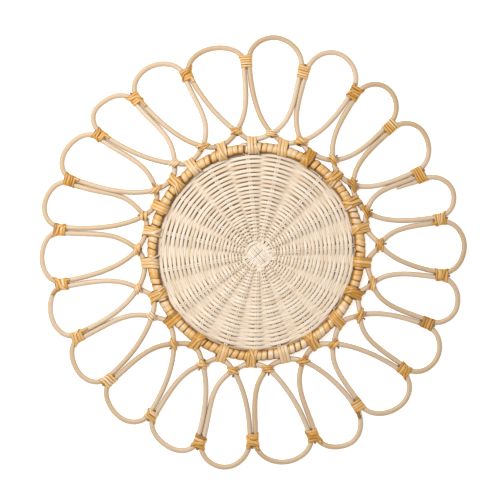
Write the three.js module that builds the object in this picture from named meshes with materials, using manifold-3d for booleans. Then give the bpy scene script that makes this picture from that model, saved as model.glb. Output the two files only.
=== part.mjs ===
// A round flower-shaped rattan charger that lies flat on a table.
// A disc of woven round reed is held in a hoop wrapped with split cane. One long cane runs round the hoop
// and makes 22 open petals: it crosses itself at the foot of each petal, goes out and back round the tip, and
// dips to the hoop between two petals, where the wrapping is carried round both. Split cane ties each
// crossing, and ties each petal to the next near the rim.
// Millimetres, +Z up, the origin on the table under the middle of the disc.
import * as THREE from "three";
import { mergeVertices } from "three/addons/utils/BufferGeometryUtils.js";
import Module from "manifold-3d";

const wasm = await Module();
wasm.setup();

// Round stock and gaps
const CANE_DIAMETER = 4.6;
const PEEL_THICKNESS = 0.7;
const TOUCHING_GAP = 0.3;

// Hoop, measured to the middle of its section, a little off centre and a little oval
const HOOP_RADIUS = 91.5;
const HOOP_SHIFT = { by: 1.2, towards: 165 };
const HOOP_OVAL = { by: 0.8, along: 45 };
const HOOP_DIAMETER = 9.4;
const WRAPS_BETWEEN_LASHINGS = 4;
const WRAP_DEPTH = 0.4;

// Woven disc
const DISC_THICKNESS = 5.4;
const DISC_EDGE_ROUNDING = 1.2;

// Lengths of split-cane wrapping along the piece that it binds
const RIM_TIE_LENGTH = 11;
const FOOT_TIE_INNER = 1.2;
const FOOT_TIE_OUTER = 3.6;
const LASHING_LENGTH = 7.2;
const LASHING_LAP = 1.4;

// One row for each petal, counter-clockwise from +X, in degrees and millimetres from the centre: the foot
// where the cane crosses itself, the tip, the rim tie on the counter-clockwise side, and the lashing to the
// hoop that follows. veerOut and veerBack are the angles to the radius at which the two legs leave the foot,
// on the counter-clockwise and the clockwise side. arrivingOver tells which pass lies on top at the foot:
// the cane that arrives, or the cane that leaves.
const PETAL_COLUMNS = [
  "foot", "footR", "tip", "tipR", "tie", "tieR", "lashing", "veerOut", "veerBack", "arrivingOver",
];
const PETAL_ROWS = [
  [3.2, 108, 1.9, 182.4, 10.2, 163.5, 12.9, 57, 58, false],
  [20.5, 102.5, 17.3, 180.4, 26.2, 158, 27.7, 56, 58, true],
  [35.3, 103, 36.1, 180.4, 43.3, 161, 44, 54, 54, true],
  [50.7, 105, 51.5, 184.3, 58.6, 164, 61.6, 51, 49, true],
  [68.4, 105, 67.6, 189, 75.7, 163.5, 76.5, 49, 54, false],
  [82.9, 105.5, 85.2, 189.8, 93.4, 168.5, 92.9, 56, 54, false],
  [99.9, 108, 103.2, 184, 111.8, 168.5, 109.6, 49, 42, true],
  [117.4, 105, 121.1, 189, 128.6, 173, 127.1, 52, 48, true],
  [133.1, 107, 138, 190.5, 143.5, 173.5, 139.8, 45, 40, true],
  [148.4, 105, 152.8, 191.5, 159.1, 177, 155.2, 49, 40, true],
  [162.3, 105, 167, 192.5, 173.5, 175.5, 169, 48, 36, true],
  [178.8, 106, 181.7, 190.2, 189.3, 175, 186, 52, 40, true],
  [196.9, 110, 198.1, 190.5, 205.2, 175.5, 203.5, 42, 47, true],
  [211.4, 109, 213.5, 190, 220.7, 173, 218.5, 42, 45, true],
  [227.7, 109.5, 229.8, 189.5, 237, 171.5, 235.8, 44, 47, true],
  [244, 110, 246.5, 188.8, 253, 175, 251, 42, 47, true],
  [258.5, 106.5, 260.4, 192, 268.5, 166, 267, 45, 48, true],
  [275.2, 103, 277.8, 186.6, 286.8, 169, 284.5, 47, 50, true],
  [292.9, 104, 295.6, 187.3, 303.2, 161.5, 301.5, 47, 46, true],
  [309.8, 105, 313.5, 185, 321.2, 166, 319.5, 50, 53, true],
  [328.3, 106, 328.9, 183.8, 337.3, 162.5, 337, 46, 60, false],
  [344.6, 105, 344.6, 182.3, 352.9, 163.5, 354.5, 58, 60, false],
];
const PETALS = PETAL_ROWS.map((row) => Object.fromEntries(row.map((value, i) => [PETAL_COLUMNS[i], value])));

// The two ends of the cane lap beside each other under one rim tie, both pared thin
const SPLICE = {
  petal: 1,
  offset: 6.65,
  tailR: 134.5,
  headR: 163.5,
  paredRadius: 1.1,
  tailTaper: 30,
  headTaper: 18,
};

// How the cane bends: how far each curve holds its direction at its ends, as shares of its span
const LEG_HOLD_FOOT = { at: 0.35, perSlant: 0.45 };
const LEG_HOLD_TIE = { at: 0.38, perSlant: 0.62 };
const USUAL_SLANT = 0.3;
const ARCH_HOLD_TIE = 0.62;
const ARCH_HOLD_TIP = 0.55;
const DIP_HOLD = 0.33;

// Faceting: the sides of round sections, and where each kind of curve gets a point, from its inner end
const CANE_SIDES = 8;
const BORE_SIDES = 6;
const DISC_STATIONS = 44;
const DIP_SAMPLES = [0, 0.4, 0.75, 1];
const LEG_SAMPLES = [0, 0.22, 0.56, 1];
const ARCH_SAMPLES = [0, 0.25, 0.5, 0.75, 1];

const CANE_RADIUS = CANE_DIAMETER / 2;
const FLAT = Math.cos(Math.PI / CANE_SIDES);
const BORE_RADIUS = CANE_RADIUS + TOUCHING_GAP;
const BOUND_RADIUS = BORE_RADIUS + PEEL_THICKNESS;
const CANE_LOW = BOUND_RADIUS;
const CANE_HIGH = CANE_LOW + CANE_DIAMETER + TOUCHING_GAP;
const PAIR_OFFSET = (CANE_DIAMETER + TOUCHING_GAP) / 2;
const HOOP_HEIGHT = HOOP_DIAMETER / 2 + PEEL_THICKNESS;

const rad = THREE.MathUtils.degToRad;
const outward = (deg) => new THREE.Vector3(Math.cos(rad(deg)), Math.sin(rad(deg)), 0);
const around = (deg) => outward(deg + 90);
const at = (deg, radius, z) => outward(deg).multiplyScalar(radius).setZ(z);
const hoopRadius = (deg) =>
  HOOP_RADIUS +
  HOOP_SHIFT.by * Math.cos(rad(deg - HOOP_SHIFT.towards)) +
  HOOP_OVAL.by * Math.cos(rad(2 * (deg - HOOP_OVAL.along)));

// A closed mesh from points and triangles of point numbers.
function meshGeometry(points, triangles) {
  const geometry = new THREE.BufferGeometry().setFromPoints(points);
  geometry.setIndex(triangles.flat());
  return geometry;
}

// Triangles that join two loops of the same number of points, facing outward when both loops turn
// counter-clockwise seen from the second.
function joinLoops(first, second, count) {
  const faces = [];
  for (let i = 0; i < count; i++) {
    const j = (i + 1) % count;
    faces.push([first + i, first + j, second + j], [first + i, second + j, second + i]);
  }
  return faces;
}

// A solid between loops of points, each turning counter-clockwise seen from the next: open with flat
// ends, or closed into a ring.
function loft(loops, closed) {
  const count = loops[0].length;
  const faces = [];
  for (let i = 0; i + 1 < loops.length; i++) faces.push(...joinLoops(i * count, (i + 1) * count, count));
  const last = (loops.length - 1) * count;
  if (closed) {
    faces.push(...joinLoops(last, 0, count));
  } else {
    for (let i = 1; i + 1 < count; i++) faces.push([0, i + 1, i], [last, last + i, last + i + 1]);
  }
  return meshGeometry(loops.flat(), faces);
}

// A sleeve through several stations, each an outer and an inner loop of the same number of points.
function sleeve(stations) {
  const count = stations[0].outer.length;
  const faces = [];
  for (let i = 0; i + 1 < stations.length; i++) {
    const here = i * 2 * count;
    const next = here + 2 * count;
    faces.push(...joinLoops(here, next, count), ...joinLoops(next + count, here + count, count));
  }
  const last = (stations.length - 1) * 2 * count;
  faces.push(...joinLoops(count, 0, count), ...joinLoops(last, last + count, count));
  return meshGeometry(stations.flatMap((s) => [...s.outer, ...s.inner]), faces);
}

// The points of a round section across a path, with flat sides level and upright.
function roundSection(centre, tangent, radius, sides) {
  const side = new THREE.Vector3().crossVectors(new THREE.Vector3(0, 0, 1), tangent).normalize();
  const up = new THREE.Vector3().crossVectors(tangent, side).normalize();
  return Array.from({ length: sides }, (_, i) => {
    const turn = ((i + 0.5) / sides) * 2 * Math.PI;
    const point = centre.clone().addScaledVector(side, radius * Math.cos(turn));
    return point.addScaledVector(up, radius * Math.sin(turn));
  });
}

// A round rod along a polyline, with a radius for each of its points.
function rod(path, radii, sides) {
  const loops = path.map((point, i) => {
    const before = path[Math.max(i - 1, 0)];
    const after = path[Math.min(i + 1, path.length - 1)];
    const tangent = new THREE.Vector3().subVectors(after, before).normalize();
    return roundSection(point, tangent, radii[i], sides);
  });
  return loft(loops, false);
}

// A loop round two round sections, at left and right of an origin and from a low to a high level, with
// its flats the given distance from their middles. It turns counter-clockwise against across x Z.
function boundLoop(origin, across, { left, right, low, high }, distance) {
  const reach = distance / FLAT;
  return Array.from({ length: CANE_SIDES }, (_, k) => {
    const turn = rad(-67.5 + 45 * k);
    const onRight = k < CANE_SIDES / 2;
    const onTop = k >= CANE_SIDES / 4 && k < (3 * CANE_SIDES) / 4;
    const point = origin.clone().addScaledVector(across, (onRight ? right : left) + reach * Math.cos(turn));
    return point.setZ((onTop ? high : low) + reach * Math.sin(turn));
  });
}

// Solids for cutting and joining, and back.
function solidOf(geometry) {
  const plain = new THREE.BufferGeometry().setAttribute("position", geometry.getAttribute("position"));
  plain.setIndex(geometry.getIndex());
  const merged = mergeVertices(plain, 1e-4);
  const vertProperties = new Float32Array(merged.getAttribute("position").array);
  const triVerts = new Uint32Array(merged.getIndex().array);
  return new wasm.Manifold(new wasm.Mesh({ numProp: 3, vertProperties, triVerts }));
}
function geometryOf(solid) {
  const mesh = solid.getMesh();
  const geometry = new THREE.BufferGeometry();
  geometry.setAttribute("position", new THREE.BufferAttribute(mesh.vertProperties, 3));
  geometry.setIndex(new THREE.BufferAttribute(mesh.triVerts, 1));
  return geometry;
}

// The cane's way through one petal, as six polylines in the order in which it runs.
function petalRun(petal, index) {
  const previous = PETALS[(index + PETALS.length - 1) % PETALS.length];
  const arriving = at(petal.foot, petal.footR, petal.arrivingOver ? CANE_HIGH : CANE_LOW);
  const leaving = at(petal.foot, petal.footR, petal.arrivingOver ? CANE_LOW : CANE_HIGH);
  const tip = at(petal.tip, petal.tipR, CANE_LOW);
  const far = at(petal.tie, petal.tieR, CANE_LOW).addScaledVector(around(petal.tie), -PAIR_OFFSET);
  const near = at(previous.tie, previous.tieR, CANE_LOW).addScaledVector(around(previous.tie), PAIR_OFFSET);
  const archStart = far.clone();
  if (index === SPLICE.petal) archStart.addScaledVector(around(petal.tie), PAIR_OFFSET - SPLICE.offset);
  const footWay = outward(petal.foot + petal.veerOut);
  const backWay = outward(petal.foot - petal.veerBack);
  const sidestep = around(petal.foot);
  const clockwise = around(petal.tip).negate();
  return {
    dipIn: dip(previous.lashing, 1, arriving, footWay),
    legOut: leg(arriving, footWay, far, outward(petal.tie), sidestep),
    archOut: arch(archStart, outward(petal.tie), tip, clockwise),
    archBack: arch(near, outward(previous.tie), tip, around(petal.tip)).reverse(),
    legBack: leg(leaving, backWay, near, outward(previous.tie), sidestep).reverse(),
    dipOut: dip(petal.lashing, -1, leaving, backWay).reverse(),
  };
}

// Points on a curve that leaves one point along a direction and comes to another along a direction.
function bend(from, fromWay, fromHold, to, toWay, toHold, samples) {
  const first = from.clone().addScaledVector(fromWay, fromHold);
  const second = to.clone().addScaledVector(toWay, -toHold);
  const curve = new THREE.CubicBezierCurve3(from, first, second, to);
  return samples.map((t) => curve.getPoint(t));
}

// From where the cane touches the outside of the hoop to a foot. turn is 1 for the counter-clockwise way.
function dip(deg, turn, foot, footWay) {
  const radius = hoopRadius(deg) + HOOP_DIAMETER / 2 + TOUCHING_GAP + CANE_RADIUS;
  const lowest = at(deg, radius, HOOP_HEIGHT);
  const hold = lowest.distanceTo(foot) * DIP_HOLD;
  return bend(lowest, around(deg).multiplyScalar(turn), hold, foot, footWay, hold, DIP_SAMPLES);
}

// From a foot to a rim tie.
function leg(foot, footWay, tie, tieWay, sidestep) {
  const span = new THREE.Vector3().subVectors(tie, foot).setZ(0);
  const slant = Math.abs(span.dot(sidestep)) / span.length() - USUAL_SLANT;
  const footHold = span.length() * (LEG_HOLD_FOOT.at - LEG_HOLD_FOOT.perSlant * slant);
  const tieHold = span.length() * (LEG_HOLD_TIE.at - LEG_HOLD_TIE.perSlant * slant);
  return bend(foot, footWay, footHold, tie, tieWay, tieHold, LEG_SAMPLES);
}

// From a rim tie to the tip.
function arch(tie, tieWay, tip, tipWay) {
  const span = new THREE.Vector3().subVectors(tip, tie);
  const tieHold = (tip.length() - tie.length()) * ARCH_HOLD_TIE;
  const tipHold = Math.abs(span.dot(tipWay)) * ARCH_HOLD_TIP;
  return bend(tie, tieWay, tieHold, tip, tipWay, tipHold, ARCH_SAMPLES);
}

const petalRuns = PETALS.map(petalRun);
const runAt = (index) => petalRuns[(index + PETALS.length) % PETALS.length];

// The tail of the cane, which comes up beside the spliced leg and into its tie.
function spliceTail() {
  const { tie, tieR } = PETALS[SPLICE.petal];
  const run = runAt(SPLICE.petal);
  const start = passAt(run.legOut, tie, SPLICE.tailR);
  start.addScaledVector(around(tie), -CANE_RADIUS - TOUCHING_GAP - SPLICE.paredRadius);
  const hold = (tieR - SPLICE.tailR) * DIP_HOLD;
  return bend(start, outward(tie), hold, run.archOut[0], outward(tie), hold, LEG_SAMPLES);
}

// The whole cane as a polyline: from the pared tail, once round the charger, to the pared head beside it
// under the same tie.
function canePath() {
  const { tie, tieR } = PETALS[SPLICE.petal];
  const path = spliceTail().slice(0, -1);
  for (let i = SPLICE.petal; i < SPLICE.petal + PETALS.length; i++) {
    const run = runAt(i);
    const next = runAt(i + 1);
    const stretches = [run.archOut, run.archBack, run.legBack, run.dipOut, next.dipIn, next.legOut];
    path.push(...stretches.flatMap((points) => points.slice(0, -1)));
  }
  const legEnd = runAt(SPLICE.petal).legOut.at(-1);
  path.push(legEnd.clone(), legEnd.clone().addScaledVector(outward(tie), SPLICE.headR - tieR));
  return path;
}

// The radius of the cane at each point of its path: full, but pared towards both ends.
function caneRadii(path) {
  const lengths = [0];
  for (let i = 1; i < path.length; i++) lengths.push(lengths[i - 1] + path[i].distanceTo(path[i - 1]));
  const total = lengths[lengths.length - 1];
  const pared = SPLICE.paredRadius;
  return lengths.map((length) => {
    const share = Math.min(length / SPLICE.tailTaper, (total - length) / SPLICE.headTaper, 1);
    return pared + (CANE_RADIUS - pared) * share;
  });
}

// The point of a polyline at a given distance along the direction deg.
function passAt(points, deg, radius) {
  const along = points.map((p) => p.dot(outward(deg)));
  const found = along.findIndex((value, i) => i > 0 && value < radius !== along[i - 1] < radius);
  const share = (radius - along[found - 1]) / (along[found] - along[found - 1]);
  return points[found - 1].clone().lerp(points[found], share);
}

// The two flanks of a pass of cane: its polyline moved sideways by the cane's radius.
function flanks(points) {
  return [-CANE_RADIUS, CANE_RADIUS].map((aside) =>
    points.map((point, i) => {
      const before = points[Math.max(i - 1, 0)];
      const after = points[Math.min(i + 1, points.length - 1)];
      const side = new THREE.Vector3(before.y - after.y, after.x - before.x, 0).normalize();
      return point.clone().addScaledVector(side, aside);
    }),
  );
}

// One station of a sleeve, across the radius at deg: as wide as the passes of cane in it.
function station(passes, deg, radius, low, high) {
  const across = around(deg);
  const reaches = passes.flatMap(flanks).map((flank) => passAt(flank, deg, radius).dot(across));
  const left = Math.min(...reaches) + CANE_RADIUS;
  const right = Math.max(...reaches) - CANE_RADIUS;
  const loop = (distance) => boundLoop(at(deg, radius, 0), across, { left, right, low, high }, distance);
  return { outer: loop(BOUND_RADIUS), inner: loop(BORE_RADIUS) };
}

// The sleeve that ties two petals near the rim, its bottom flat on the table.
function rimTie(index) {
  const { tie, tieR } = PETALS[index];
  const run = runAt(index);
  const next = runAt(index + 1);
  const passes = [
    [...run.legOut, ...run.archOut.slice(1)],
    [...next.archBack, ...next.legBack.slice(1)],
  ];
  if (index === SPLICE.petal) passes.push([...spliceTail(), ...run.archOut.slice(1)]);
  const ends = [-RIM_TIE_LENGTH / 2, RIM_TIE_LENGTH / 2];
  return sleeve(ends.map((slide) => station(passes, tie, tieR + slide, CANE_LOW, CANE_LOW)));
}

// The sleeve round the crossing at the foot of a petal, its bottom flat on the table.
function footTie(index) {
  const { foot, footR } = PETALS[index];
  const run = runAt(index);
  const passes = [
    [...run.dipIn, ...run.legOut.slice(1)],
    [...run.legBack, ...run.dipOut.slice(1)],
  ];
  const ends = [-FOOT_TIE_INNER, FOOT_TIE_OUTER];
  return sleeve(ends.map((slide) => station(passes, foot, footR + slide, CANE_LOW, CANE_HIGH)));
}

// The hoop with its wrapping: between two lashings its section swells at each turn of split cane.
function wrappedHoop() {
  const covered = THREE.MathUtils.radToDeg((LASHING_LENGTH - 2 * LASHING_LAP) / HOOP_RADIUS);
  const halves = WRAPS_BETWEEN_LASHINGS * 2;
  const loops = PETALS.flatMap(({ lashing }, index) => {
    const next = PETALS[(index + 1) % PETALS.length].lashing;
    const span = ((next - lashing + 360) % 360) - covered;
    return Array.from({ length: halves + 1 }, (_, k) => {
      const deg = lashing + covered / 2 + (span * k) / halves;
      const radius = HOOP_DIAMETER / 2 - (k % 2 === 0 ? WRAP_DEPTH : 0);
      return roundSection(at(deg, hoopRadius(deg), HOOP_HEIGHT), around(deg), radius, CANE_SIDES);
    });
  });
  return loft(loops, true);
}

// The outline of a lashing: round the hoop and the cane beside it, flat where it stands on the table.
// away is a corner's distance from the middle of the hoop or of the cane, as the turn says.
function lashingLoop(deg, slide) {
  const origin = at(deg, hoopRadius(deg), 0).addScaledVector(around(deg), slide);
  const hoop = { middle: 0, reach: (HOOP_DIAMETER / 2 + PEEL_THICKNESS) / FLAT };
  const cane = { middle: HOOP_DIAMETER / 2 + TOUCHING_GAP + CANE_RADIUS, reach: BOUND_RADIUS / FLAT };
  const corners = [
    { of: hoop, turn: -67.5 },
    ...[-67.5, -22.5, 22.5, 67.5].map((turn) => ({ of: cane, turn })),
    ...[112.5, 157.5, 202.5, 247.5].map((turn) => ({ of: hoop, turn })),
  ];
  return corners.map(({ of, turn }) => {
    const away = of.middle + of.reach * Math.cos(rad(turn));
    const height = HOOP_HEIGHT + of.reach * Math.sin(rad(turn));
    return origin.clone().addScaledVector(outward(deg), away).setZ(height);
  });
}

// The hoop joined with its lashings, which are bored for the cane.
function lashedHoop() {
  let solid = solidOf(wrappedHoop());
  PETALS.forEach(({ lashing }, index) => {
    const ends = [LASHING_LENGTH / 2, -LASHING_LENGTH / 2].map((slide) => lashingLoop(lashing, slide));
    const through = [...runAt(index).dipOut.slice(-2), runAt(index + 1).dipIn[1]];
    const boreRadii = through.map(() => BORE_RADIUS / Math.cos(Math.PI / BORE_SIDES));
    solid = solid.add(solidOf(loft(ends, false))).subtract(solidOf(rod(through, boreRadii, BORE_SIDES)));
  });
  return geometryOf(solid);
}

// The woven disc as a flat round slab with rounded edges, just inside the hoop and its lashings.
function wovenDisc() {
  const inset = HOOP_DIAMETER / 2 + PEEL_THICKNESS + TOUCHING_GAP + DISC_EDGE_ROUNDING;
  const outline = Array.from({ length: DISC_STATIONS }, (_, k) => {
    const deg = (k * 360) / DISC_STATIONS;
    const point = at(deg, hoopRadius(deg) - inset, 0);
    return new THREE.Vector2(point.x, point.y);
  });
  const geometry = new THREE.ExtrudeGeometry(new THREE.Shape(outline), {
    depth: DISC_THICKNESS - 2 * DISC_EDGE_ROUNDING,
    bevelEnabled: true,
    bevelSegments: 1,
    bevelSize: DISC_EDGE_ROUNDING,
    bevelThickness: DISC_EDGE_ROUNDING,
  });
  return geometry.translate(0, 0, DISC_EDGE_ROUNDING);
}

const REED = new THREE.MeshStandardMaterial({ color: 0xf6e6cc, roughness: 0.75, metalness: 0 });
const CANE = new THREE.MeshStandardMaterial({ color: 0xe6c8a2, roughness: 0.5, metalness: 0 });
const PEEL = new THREE.MeshStandardMaterial({ color: 0xd9a55c, roughness: 0.45, metalness: 0 });

function piece(name, geometry, material) {
  const mesh = new THREE.Mesh(geometry, material);
  mesh.name = name;
  return mesh;
}
const numbered = (name, index) => `${name}_${String(index + 1).padStart(2, "0")}`;

const base = new THREE.Group();
base.add(piece("woven_disc", wovenDisc(), REED));
base.add(piece("wrapped_hoop", lashedHoop(), PEEL));

const petals = new THREE.Group();
const path = canePath();
petals.add(piece("petal_cane", rod(path, caneRadii(path), CANE_SIDES), CANE));
PETALS.forEach((_, index) => {
  petals.add(piece(numbered("rim_tie", index), rimTie(index), PEEL));
  petals.add(piece(numbered("foot_tie", index), footTie(index), PEEL));
});

const charger = new THREE.Group();
charger.add(base, petals);
export default charger;
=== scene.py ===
# %% [markdown]
# # A rattan charger with a flower border
# The charger is a flat disc of woven reed in a thick hoop, and one long cane that loops round it in 22
# petals. All of it is round or flat plant stem, bent, woven and tied. So every piece here is a profile
# carried along a path, and the lesson is how to find the paths.
#
# The first lines load the imported model, in metres.

# %% Load the frame
import bpy
import numpy as np
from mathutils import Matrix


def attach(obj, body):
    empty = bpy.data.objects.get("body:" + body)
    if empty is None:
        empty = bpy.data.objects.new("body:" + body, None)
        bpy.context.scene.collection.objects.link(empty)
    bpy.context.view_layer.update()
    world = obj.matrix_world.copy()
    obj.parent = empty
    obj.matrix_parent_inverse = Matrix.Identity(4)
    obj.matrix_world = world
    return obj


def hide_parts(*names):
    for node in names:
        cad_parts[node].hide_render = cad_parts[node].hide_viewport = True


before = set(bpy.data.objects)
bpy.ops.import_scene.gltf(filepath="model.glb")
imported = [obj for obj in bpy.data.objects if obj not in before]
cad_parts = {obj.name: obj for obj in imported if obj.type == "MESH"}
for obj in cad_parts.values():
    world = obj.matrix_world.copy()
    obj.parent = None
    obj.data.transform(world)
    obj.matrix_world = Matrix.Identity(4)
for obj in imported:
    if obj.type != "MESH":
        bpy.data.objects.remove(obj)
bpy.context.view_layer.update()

print("nodes in the frame:", len(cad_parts))

# %% [markdown]
# ## Camera, floor and light
# The photograph looks straight down, a little left of the charger's middle, with a long lens, so there is
# almost no perspective. Half of the light comes from everywhere, and half from a lamp at the upper left. It
# reaches the lower and right petals more aslant, so they are the darkest. The white paper glows a little, as
# on a light table, which takes the shadows away.

# %% Camera straight above
MM = 0.001
VIEW_WIDTH = 442 * MM
VIEW_MIDDLE = (-6.6 * MM, 1.8 * MM)
LENS = 100.0

camera_data = bpy.data.cameras.new("camera")
camera_data.lens = LENS
camera_data.sensor_width = 36.0
camera = bpy.data.objects.new("camera", camera_data)
camera.location = (*VIEW_MIDDLE, VIEW_WIDTH * LENS / camera_data.sensor_width)
bpy.context.collection.objects.link(camera)
bpy.context.scene.camera = camera
print("camera height in mm:", round(camera.location.z / MM))

# %% Floor and lamps
def plain_material(name, color, roughness, glow):
    """A material of one colour, with a glow in the same colour."""
    material = bpy.data.materials.new(name)
    material.use_nodes = True
    shader = material.node_tree.nodes["Principled BSDF"]
    shader.inputs["Base Color"].default_value = (*color, 1)
    shader.inputs["Roughness"].default_value = roughness
    shader.inputs["Emission Color"].default_value = (*color, 1)
    shader.inputs["Emission Strength"].default_value = glow
    return material


def soft_lamp(name, place, size, power):
    """A square area lamp that looks at the middle of the charger."""
    data = bpy.data.lights.new(name, "AREA")
    data.size = size
    data.energy = power
    lamp = bpy.data.objects.new(name, data)
    lamp.location = place
    lamp.rotation_euler = lamp.location.to_track_quat("Z", "Y").to_euler()
    bpy.context.collection.objects.link(lamp)


floor_data = bpy.data.meshes.new("floor")
floor_data.from_pydata([(-3, -3, 0), (3, -3, 0), (3, 3, 0), (-3, 3, 0)], [], [(0, 1, 2, 3)])
floor_data.materials.append(plain_material("white_paper", (0.93, 0.93, 0.93), roughness=0.9, glow=0.6))
floor = bpy.data.objects.new("floor", floor_data)
bpy.context.collection.objects.link(floor)

soft_lamp("near_lamp", (-0.28, 0.24, 0.68), size=0.4, power=5.55)
world = bpy.data.worlds.new("studio")
world.use_nodes = True
background = world.node_tree.nodes["Background"]
background.inputs["Color"].default_value = (1, 1, 1, 1)
background.inputs["Strength"].default_value = 0.6
bpy.context.scene.world = world
bpy.context.scene.view_settings.view_transform = "Standard"

# %% [markdown]
# ## The makers' table
# Each petal was shaped by hand, so no two are alike. One row holds one petal: the foot where the cane crosses
# itself, the tip, the tie near the rim and the lashing to the hoop, as angles in degrees and distances in
# millimetres. `veer_out` and `veer_back` are the angles to the radius at which the two legs leave the foot,
# and the last column tells whether the arriving pass lies on top there.

# %% Sizes and the table of petals
# In millimetres. GAP is the air between pieces that touch, PEEL the height of a tie under the cane, and
# HOOP_HALF half the thickness of the hoop.
CANE_RADIUS = 2.3
PEEL = 0.7
GAP = 0.3
HOOP_RADIUS = 91.5
HOOP_SHIFT_BY, HOOP_SHIFT_TOWARDS = 1.2, 165.0
HOOP_OVAL_BY, HOOP_OVAL_ALONG = 0.8, 45.0
HOOP_HALF = 4.7
HOOP_Z = HOOP_HALF + PEEL
CANE_LOW = CANE_RADIUS + GAP + PEEL
CANE_HIGH = CANE_LOW + 2 * CANE_RADIUS + GAP
PAIR_OFFSET = CANE_RADIUS + GAP / 2

COLUMNS = "foot foot_r tip tip_r tie tie_r lashing veer_out veer_back over".split()
PETALS = np.array([
    (3.2, 108, 1.9, 182.4, 10.2, 163.5, 12.9, 57, 58, 0),
    (20.5, 102.5, 17.3, 180.4, 26.2, 158, 27.7, 56, 58, 1),
    (35.3, 103, 36.1, 180.4, 43.3, 161, 44, 54, 54, 1),
    (50.7, 105, 51.5, 184.3, 58.6, 164, 61.6, 51, 49, 1),
    (68.4, 105, 67.6, 189, 75.7, 163.5, 76.5, 49, 54, 0),
    (82.9, 105.5, 85.2, 189.8, 93.4, 168.5, 92.9, 56, 54, 0),
    (99.9, 108, 103.2, 184, 111.8, 168.5, 109.6, 49, 42, 1),
    (117.4, 105, 121.1, 189, 128.6, 173, 127.1, 52, 48, 1),
    (133.1, 107, 138, 190.5, 143.5, 173.5, 139.8, 45, 40, 1),
    (148.4, 105, 152.8, 191.5, 159.1, 177, 155.2, 49, 40, 1),
    (162.3, 105, 167, 192.5, 173.5, 175.5, 169, 48, 36, 1),
    (178.8, 106, 181.7, 190.2, 189.3, 175, 186, 52, 40, 1),
    (196.9, 110, 198.1, 190.5, 205.2, 175.5, 203.5, 42, 47, 1),
    (211.4, 109, 213.5, 190, 220.7, 173, 218.5, 42, 45, 1),
    (227.7, 109.5, 229.8, 189.5, 237, 171.5, 235.8, 44, 47, 1),
    (244, 110, 246.5, 188.8, 253, 175, 251, 42, 47, 1),
    (258.5, 106.5, 260.4, 192, 268.5, 166, 267, 45, 48, 1),
    (275.2, 103, 277.8, 186.6, 286.8, 169, 284.5, 47, 50, 1),
    (292.9, 104, 295.6, 187.3, 303.2, 161.5, 301.5, 47, 46, 1),
    (309.8, 105, 313.5, 185, 321.2, 166, 319.5, 50, 53, 1),
    (328.3, 106, 328.9, 183.8, 337.3, 162.5, 337, 46, 60, 0),
    (344.6, 105, 344.6, 182.3, 352.9, 163.5, 354.5, 58, 60, 0),
])
petal = dict(zip(COLUMNS, PETALS.T))
COUNT = len(PETALS)
before = {name: np.roll(column, 1) for name, column in petal.items()}
print("petals:", COUNT, "widest reach in mm:", petal["tip_r"].max() + CANE_RADIUS)

# %% [markdown]
# ## Paths as whole arrays
# `outward` is the unit vector that points away from the middle at an angle, and `around` the one that points
# counter-clockwise there. Both take a column of angles and give an array of vectors, so the paths of all 22
# petals are worked out together, without a loop.

# %% Directions, places and the hoop
def outward(deg):
    """(cos a, sin a, 0) for each angle a."""
    a = np.radians(deg)
    return np.stack([np.cos(a), np.sin(a), np.zeros_like(a)], axis=-1)


def around(deg):
    """The outward direction a quarter turn further on."""
    return outward(np.asarray(deg, float) + 90)


def at(deg, radius, z):
    """The point at an angle, a distance from the middle and a height."""
    points = outward(np.asarray(deg, float)) * np.asarray(radius, float)[..., None]
    points[..., 2] = z
    return points


def hoop_radius(deg):
    """A circle, shifted a little to one side and drawn a little oval."""
    shift = HOOP_SHIFT_BY * np.cos(np.radians(deg - HOOP_SHIFT_TOWARDS))
    return HOOP_RADIUS + shift + HOOP_OVAL_BY * np.cos(np.radians(2 * (deg - HOOP_OVAL_ALONG)))


def bend(start, start_way, start_hold, end, end_way, end_hold, steps):
    """Cubic Bezier curves: they leave start along start_way and come to end along end_way.

    With c1 = start + hold * way and c2 = end - hold * way, the point at t is
    (1-t)^3 start + 3 (1-t)^2 t c1 + 3 (1-t) t^2 c2 + t^3 end.
    """
    t = np.linspace(0, 1, steps + 1)[:, None]
    c1 = start + start_way * np.asarray(start_hold, float)[..., None]
    c2 = end - end_way * np.asarray(end_hold, float)[..., None]
    start, c1, c2, end = (p[..., None, :] for p in (start, c1, c2, end))
    return (1 - t) ** 3 * start + 3 * (1 - t) ** 2 * t * c1 + 3 * (1 - t) * t**2 * c2 + t**3 * end


print("hoop radius in mm at 0 and 90:", np.round(hoop_radius(np.array([0, 90])), 1))

# %% [markdown]
# ## One cane, 22 petals
# On the real charger a single cane makes every petal. It touches the hoop, dips out to a foot, runs up a
# leg to a rim tie, over the arch, down the other leg, crosses itself at the foot and comes back to the hoop.
# These are six curves, each one call of `bend` on whole columns. The pass that lies on top at the foot is
# higher there by one cane.

# %% The six curves of a petal
ARCH_STEPS, LEG_STEPS, DIP_STEPS = 16, 16, 8
# How long an end of a curve holds its direction, as a share of the length, the rise or the reach. For a leg,
# the second number is what a unit of slant beyond the usual takes off.
LEG_HOLD_FOOT, LEG_HOLD_TIE, USUAL_SLANT = (0.35, 0.45), (0.38, 0.62), 0.3
ARCH_HOLD_TIE, ARCH_HOLD_TIP, DIP_HOLD = 0.62, 0.55, 0.33
# The petal in whose tie the ends of the cane lap, and how far the first lies from the tie's middle.
SPLICED = 1
SPLICE_OFFSET = 6.65


def leg(foot, foot_way, tie, tie_way, sidestep):
    """From a foot to a rim tie. The more it slants, the less it holds its end directions."""
    span = (tie - foot)[:, :2]
    length = np.hypot(*span.T)
    slant = np.abs((span * sidestep[:, :2]).sum(1)) / length - USUAL_SLANT
    foot_hold, tie_hold = (length * (usual - less * slant) for usual, less in (LEG_HOLD_FOOT, LEG_HOLD_TIE))
    return bend(foot, foot_way, foot_hold, tie, tie_way, tie_hold, LEG_STEPS)


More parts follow.
